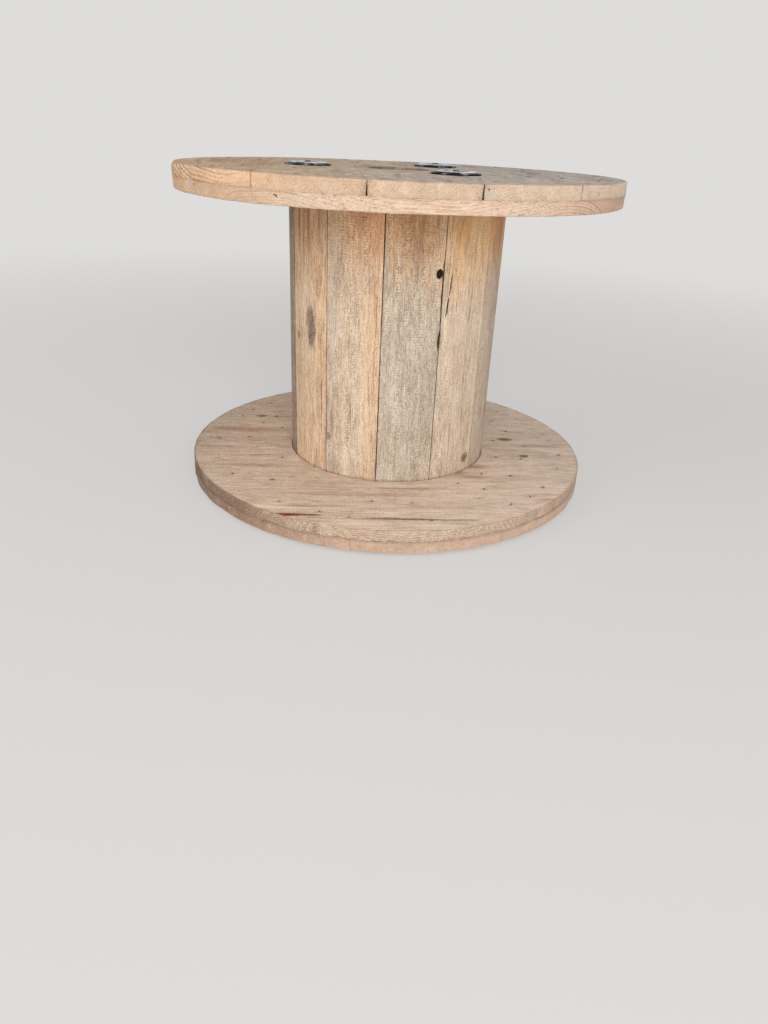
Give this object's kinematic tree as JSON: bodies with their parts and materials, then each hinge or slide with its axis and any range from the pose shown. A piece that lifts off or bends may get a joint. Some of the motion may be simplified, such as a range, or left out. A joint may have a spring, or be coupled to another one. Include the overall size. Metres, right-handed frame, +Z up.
{
  "type": "wooden cable drum",
  "caption": "Wooden cable drum: cross-plied plank flanges on a barrel of bevelled staves, clamped by tie rods with cup washers, with a spindle bore.",
  "frame": {"origin": "on the floor under the middle of the drum as it stands on its end", "axes": "+Z up along the spindle axis; the picture's camera looks along +Y"},
  "size_m": [0.8, 0.8, 0.5855],
  "materials": {
    "flange_wood": "sawn, weathered",
    "stave_wood": "sawn, weathered",
    "zinc_washer": "pressed, zinc plated",
    "zinc_rod": "zinc plated, dulled"
  },
  "bodies": {
    "root": {"bottom_cup_washers": "zinc_washer", "bottom_inner_plank_1": "flange_wood", "bottom_inner_plank_2": "flange_wood", "bottom_inner_plank_3": "flange_wood", "bottom_inner_plank_4": "flange_wood", "bottom_inner_plank_5": "flange_wood", "bottom_nuts": "zinc_rod", "bottom_outer_plank_1": "flange_wood", "bottom_outer_plank_2": "flange_wood", "bottom_outer_plank_3": "flange_wood", "bottom_outer_plank_4": "flange_wood", "bottom_outer_plank_5": "flange_wood", "bottom_outer_plank_6": "flange_wood", "stave_01": "stave_wood", "stave_02": "stave_wood", "stave_03": "stave_wood", "stave_04": "stave_wood", "stave_05": "stave_wood", "stave_06": "stave_wood", "stave_07": "stave_wood", "stave_08": "stave_wood", "stave_09": "stave_wood", "stave_10": "stave_wood", "stave_11": "stave_wood", "stave_12": "stave_wood", "tie_rod_1": "zinc_rod", "tie_rod_2": "zinc_rod", "tie_rod_3": "zinc_rod", "top_cup_washers": "zinc_washer", "top_inner_plank_1": "flange_wood", "top_inner_plank_2": "flange_wood", "top_inner_plank_3": "flange_wood", "top_inner_plank_4": "flange_wood", "top_inner_plank_5": "flange_wood", "top_nuts": "zinc_rod", "top_outer_plank_1": "flange_wood", "top_outer_plank_2": "flange_wood", "top_outer_plank_3": "flange_wood", "top_outer_plank_4": "flange_wood", "top_outer_plank_5": "flange_wood"}
  },
  "joints": []
}
